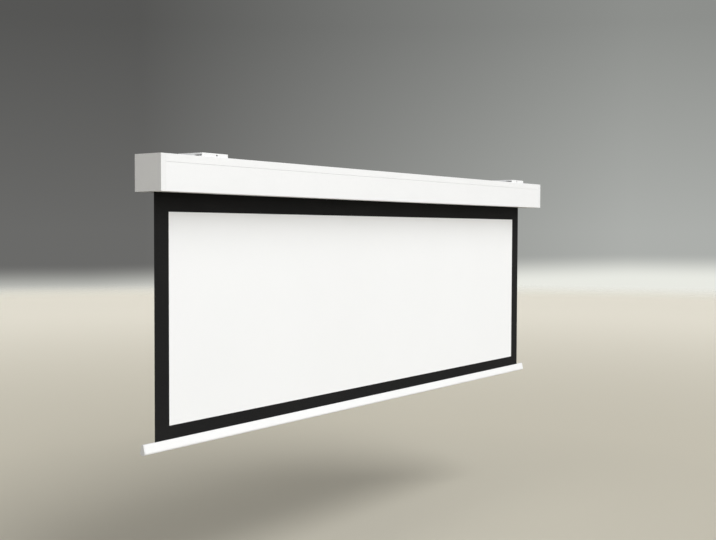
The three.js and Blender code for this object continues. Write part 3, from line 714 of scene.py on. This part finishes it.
def put_on(bm, node, facing, right):
    """Moves a fastener from its own axis to its node, its head's outer face turned this way."""
    low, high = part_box(node)
    middle = (low + high) / 2
    half = (high - low) / 2
    outer = middle + Vector([half[i] * facing[i] for i in range(3)])
    turn = Matrix((right, facing.cross(right), facing)).transposed().to_4x4()
    bm.transform(Matrix.Translation(outer) @ turn)


def length_along(node, facing):
    low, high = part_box(node)
    return abs((high - low).dot(facing))


def cross_screw(node, kind, head, facing, right):
    """A screw with a cross recess in its head."""
    angles = cross_angles()
    rows = thread_rows(angles, -length_along(node, facing), **SHANKS[kind])
    rows += [row_around(angles, height * MM, circle(radius * MM)) for radius, height in head]
    rows += [row_around(angles, height * MM, cross(CROSS_ARM * share)) for share, height in RECESS]
    bm = lofted(rows)
    put_on(bm, node, facing, right)
    return object_from(f"{node}_finished", bm)


def square_bolt(node, facing, right):
    """A bolt whose square head slides in the case's groove."""
    angles = even_angles()
    rows = thread_rows(angles, -length_along(node, facing), **SHANKS["groove_bolt"])
    rows.append(row_around(angles, SQUARE_HEAD[0][1] * MM, circle(SQUARE_NECK)))
    rows += [row_around(angles, height * MM, square(half * MM)) for half, height in SQUARE_HEAD]
    bm = lofted(rows)
    put_on(bm, node, facing, right)
    return object_from(f"{node}_finished", bm)


def hex_nut(node, facing, right, bore):
    """A nut with both faces chamfered."""
    angles = even_angles()
    low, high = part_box(node)
    half = abs((high - low).dot(right)) / 2
    thickness = length_along(node, facing)
    flats = hexagon(half)

    def outside(height, share):
        return row_around(angles, height, lambda angle: min(flats(angle), half * share))

    rows = [row_around(angles, 0.0, circle(bore + BORE_CHAMFER))]
    rows += [outside(-height * MM, share) for height, share in NUT_CHAMFER]
    rows += [outside(height * MM - thickness, share) for height, share in reversed(NUT_CHAMFER)]
    rows.append(row_around(angles, -thickness, circle(bore + BORE_CHAMFER)))
    rows.append(row_around(angles, BORE_CHAMFER - thickness, circle(bore)))
    rows.append(row_around(angles, -BORE_CHAMFER, circle(bore)))
    bm = lofted(rows, closed=True)
    put_on(bm, node, facing, right)
    return object_from(f"{node}_finished", bm)


def build_fasteners():
    """The screws, bolts and nuts, with their recesses, threads and chamfers."""
    across, back, up = Vector((1, 0, 0)), Vector((0, 1, 0)), Vector((0, 0, 1))
    for node in SLOT_OF_NODE:
        kind = fastener_kind(node)
        if kind == "cap_screw":
            piece = cross_screw(node, kind, COUNTERSUNK_HEAD, back, across)
        elif kind == "plate_screw":
            to_middle = -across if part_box(node)[0].x > 0 else across
            piece = cross_screw(node, kind, PAN_HEAD, to_middle, back)
        elif kind == "groove_bolt":
            piece = square_bolt(node, -up, across)
        elif node == "idle_pin_nut":
            piece = hex_nut(node, -across, back, IDLE_NUT_BORE)
        elif kind == "nut":
            piece = hex_nut(node, up, across, GROOVE_NUT_BORE)
        else:
            continue
        finish_piece(piece, node)


# Cloth

# Hanging sheets are made of cells about this wide
CLOTH_CELL = 20 * MM

# Turns left on the roller: the sheet's thickness, its step out in each turn, and how far its sides wander
# in and out, with the waves of that in a turn
WOUND_THICKNESS = 0.34 * MM
WOUND_PITCH = 0.38 * MM
WOUND_TURNS = 1.9
WOUND_STEPS = 96
WOUND_UNEVEN = 0.5 * MM
WOUND_WAVES = 1.7


def sheet_side(bm, low, high, y, across, down):
    """One side of a sheet in cells; returns its rim, once around."""
    width, length = high.x - low.x, high.z - low.z
    columns = [low.x + width * i / across for i in range(across + 1)]
    heights = [low.z + length * i / down for i in range(down + 1)]
    rows = [[bm.verts.new((x, y, z)) for x in columns] for z in heights]
    for lower, upper in zip(rows, rows[1:]):
        for i in range(across):
            bm.faces.new((lower[i], lower[i + 1], upper[i + 1], upper[i]))
    right = [row[-1] for row in rows[1:-1]]
    left = [row[0] for row in rows[1:-1]]
    return rows[0] + right + rows[-1][::-1] + left[::-1]


def cloth_sheet(name, node):
    """A thin hanging sheet in the place of its CAD solid, in small cells."""
    low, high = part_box(node)
    width, length = high.x - low.x, high.z - low.z
    across = round(width / CLOTH_CELL)
    down = round(length / CLOTH_CELL)
    bm = bmesh.new()
    front = sheet_side(bm, low, high, low.y, across, down)
    back = sheet_side(bm, low, high, high.y, across, down)
    for i in range(len(front)):
        beside = (i + 1) % len(front)
        bm.faces.new((front[i], front[beside], back[beside], back[i]))
    bmesh.ops.recalc_face_normals(bm, faces=bm.faces)
    piece = object_from(name, bm)
    finish_piece(piece, node)
    return piece


def build_wound_cloth():
    """The turns left on the roller as one sheet wound up; it ends where the hanging cloth begins."""
    node = "wound_cloth"
    low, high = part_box(node)
    outside = (high.y - low.y) / 2 - WOUND_THICKNESS / 2
    middle_z = (low.z + high.z) / 2
    steps = round(WOUND_TURNS * WOUND_STEPS)
    rows = []
    for i in range(steps + 1):
        turn = WOUND_TURNS * (1 - i / steps)
        angle = math.tau * turn
        radius = outside - WOUND_PITCH * turn
        uneven = WOUND_UNEVEN * (0.5 + 0.5 * math.sin(WOUND_WAVES * angle))
        left, right = low.x + uneven, high.x - uneven
        outer, inner = radius + WOUND_THICKNESS / 2, radius - WOUND_THICKNESS / 2
        corners = [(left, outer), (right, outer), (right, inner), (left, inner)]
        row = [(x, reach * math.cos(angle), middle_z + reach * math.sin(angle)) for x, reach in corners]
        rows.append([Vector(point) for point in row])
    finish_piece(object_from(f"{node}_finished", lofted(rows)), node)


def build_cloth():
    """The black cloth and its white layer as hanging sheets, each on a mesh of its own."""
    black = cloth_sheet("screen_cloth", "black_cloth")
    white = cloth_sheet("viewing_surface", "white_surface")
    low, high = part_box("black_cloth")
    lift = next(joint for joint in frame["joints"] if joint["name"] == "screen_lift")
    drop = high.z - low.z
    left_hanging = (drop - max(lift["range_m"])) / drop
    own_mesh(black)
    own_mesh(white)


# Stage, light and camera

def seen_by_camera(tree):
    """1 for rays that come from the camera, through glass, or off a shiny surface."""
    path = tree.nodes.new("ShaderNodeLightPath")
    seen = maths(tree, "MAXIMUM", path.outputs["Is Camera Ray"], path.outputs["Is Glossy Ray"])
    return maths(tree, "MAXIMUM", seen, path.outputs["Is Transmission Ray"])


def along(tree, direction, line):
    made = add_node(tree, "ShaderNodeVectorMath", {0: direction, 1: line}, operation="DOT_PRODUCT")
    return made.outputs["Value"]


def build_floor():
    bm = bmesh.new()
    bmesh.ops.create_circle(bm, cap_ends=True, radius=FLOOR_RADIUS, segments=FLOOR_SIDES)
    floor = object_from("floor", bm, smooth=False)
    floor.location.z = FLOOR_HEIGHT
    material, tree, shader = start_material("floor", Roughness=0.9, Specular_IOR_Level=0.1)
    place = object_place(tree)
    reach = add_node(tree, "ShaderNodeVectorMath", {0: place}, operation="LENGTH").outputs["Value"]
    # Painted shade near the middle and painted light further out: the floor's colour grows paler with reach
    near_share = linear_share(tree, reach, 0.0, FLOOR_NEAR_TO)
    near = blended(tree, near_share, FLOOR_NEAR_COLOUR, FLOOR_COLOUR)
    pale = blended(tree, remap(tree, reach, FLOOR_PALE_FROM, FLOOR_PALE_TO), near, FLOOR_FAR_COLOUR)
    shown = blended(tree, seen_by_camera(tree), FLOOR_BOUNCE_COLOUR, pale)
    tree.links.new(shown, shader.inputs["Base Color"])
    clear = tree.nodes.new("ShaderNodeBsdfTransparent")
    fade = remap(tree, reach, FLOOR_CLEAR_FROM, FLOOR_CLEAR_TO)
    below = tree.nodes.new("ShaderNodeNewGeometry").outputs["Backfacing"]
    hidden = maths(tree, "MAXIMUM", fade, below)
    mixed = add_node(tree, "ShaderNodeMixShader", {0: hidden, 1: shader.outputs[0], 2: clear.outputs[0]})
    tree.links.new(mixed.outputs[0], tree.nodes["Material Output"].inputs["Surface"])
    floor.data.materials.append(material)


def build_world():
    """Soft fill light for the object, and for the camera a grey backdrop with painted shading and a painted bright
    band of light low down.
    """
    world = bpy.data.worlds.new("studio")
    bpy.context.scene.world = world
    world.use_nodes = True
    tree = world.node_tree
    tree.nodes.clear()
    direction = tree.nodes.new("ShaderNodeTexCoord").outputs["Generated"]
    rise = add_node(tree, "ShaderNodeSeparateXYZ", {"Vector": direction}).outputs["Z"]
    across = along(tree, direction, BACKDROP_RIGHT)
    # Painted light and shade: the grey darkens to the left and upwards, and a bright band is painted low down
    turned = linear_share(tree, across, BACKDROP_DARK_AT, BACKDROP_LIGHT_AT)
    grey = blended(tree, turned, BACKDROP_DARK, BACKDROP_LIGHT)
    gain = linear_share(tree, rise, 0.0, BACKDROP_HIGH, BACKDROP_LOW_GAIN, 1.0)
    wall = add_node(tree, "ShaderNodeVectorMath", {0: grey, "Scale": gain}, operation="SCALE").outputs[0]
    left, right = BAND_LEFT - BAND_MIDDLE, BAND_RIGHT - BAND_MIDDLE
    tilt = linear_share(tree, across, -BAND_REACH, BAND_REACH, left, right)
    facing = linear_share(tree, along(tree, direction, BAND_FACING), 0.0, BAND_FACING_FULL)
    ahead = maths(tree, "ADD", maths(tree, "MULTIPLY", tilt, facing), BAND_MIDDLE)
    band = remap(tree, maths(tree, "DIVIDE", rise, ahead), BAND_FULL, BAND_START, 1.0, 0.0)
    backdrop = blended(tree, band, wall, BACKDROP_BAND)
    fill_strength = linear_share(tree, rise, 0.0, 1.0, FILL_LOW, FILL_HIGH)
    fill = add_node(tree, "ShaderNodeBackground", {"Color": (1, 1, 1, 1), "Strength": fill_strength})
    shown = add_node(tree, "ShaderNodeBackground", {"Color": backdrop, "Strength": 1.0})
    inputs = {0: seen_by_camera(tree), 1: fill.outputs[0], 2: shown.outputs[0]}
    mixed = add_node(tree, "ShaderNodeMixShader", inputs)
    out = tree.nodes.new("ShaderNodeOutputWorld")
    tree.links.new(mixed.outputs[0], out.inputs["Surface"])


def build_lamp(name, strength, softness, height, turn):
    """A far lamp, this high over the horizon and turned this far to the right of the front."""
    light = bpy.data.lights.new(name, "SUN")
    light.color = LAMP_COLOUR
    light.energy = strength
    light.angle = softness
    lamp = new_object(name, light)
    towards = Vector((
        math.sin(turn) * math.cos(height),
        -math.cos(turn) * math.cos(height),
        math.sin(height),
    ))
    lamp.rotation_mode = "QUATERNION"
    lamp.rotation_quaternion = towards.to_track_quat("Z", "Y")


def build_camera():
    forward = Vector((
        math.sin(CAMERA_YAW) * math.cos(CAMERA_PITCH),
        math.cos(CAMERA_YAW) * math.cos(CAMERA_PITCH),
        math.sin(CAMERA_PITCH),
    ))
    level_right = Vector((math.cos(CAMERA_YAW), -math.sin(CAMERA_YAW), 0))
    level_up = level_right.cross(forward)
    right = math.cos(CAMERA_ROLL) * level_right + math.sin(CAMERA_ROLL) * level_up
    up = math.cos(CAMERA_ROLL) * level_up - math.sin(CAMERA_ROLL) * level_right
    turn = Matrix((right, up, -forward)).transposed().to_4x4()
    data = bpy.data.cameras.new("camera")
    data.lens = CAMERA_LENS
    data.sensor_width = CAMERA_SENSOR
    camera = new_object("camera", data)
    camera.matrix_world = Matrix.Translation(CAMERA_PLACE) @ turn
    bpy.context.scene.camera = camera


build_camera()
build_world()
build_lamp("key", KEY_STRENGTH, KEY_SOFTNESS, KEY_HEIGHT, KEY_TURN)
build_lamp("front", FRONT_STRENGTH, FRONT_SOFTNESS, FRONT_HEIGHT, FRONT_TURN)
build_floor()
build_rounded_pieces()
build_fasteners()
build_wound_cloth()
build_cloth()
bpy.context.scene.view_settings.view_transform = "Standard"
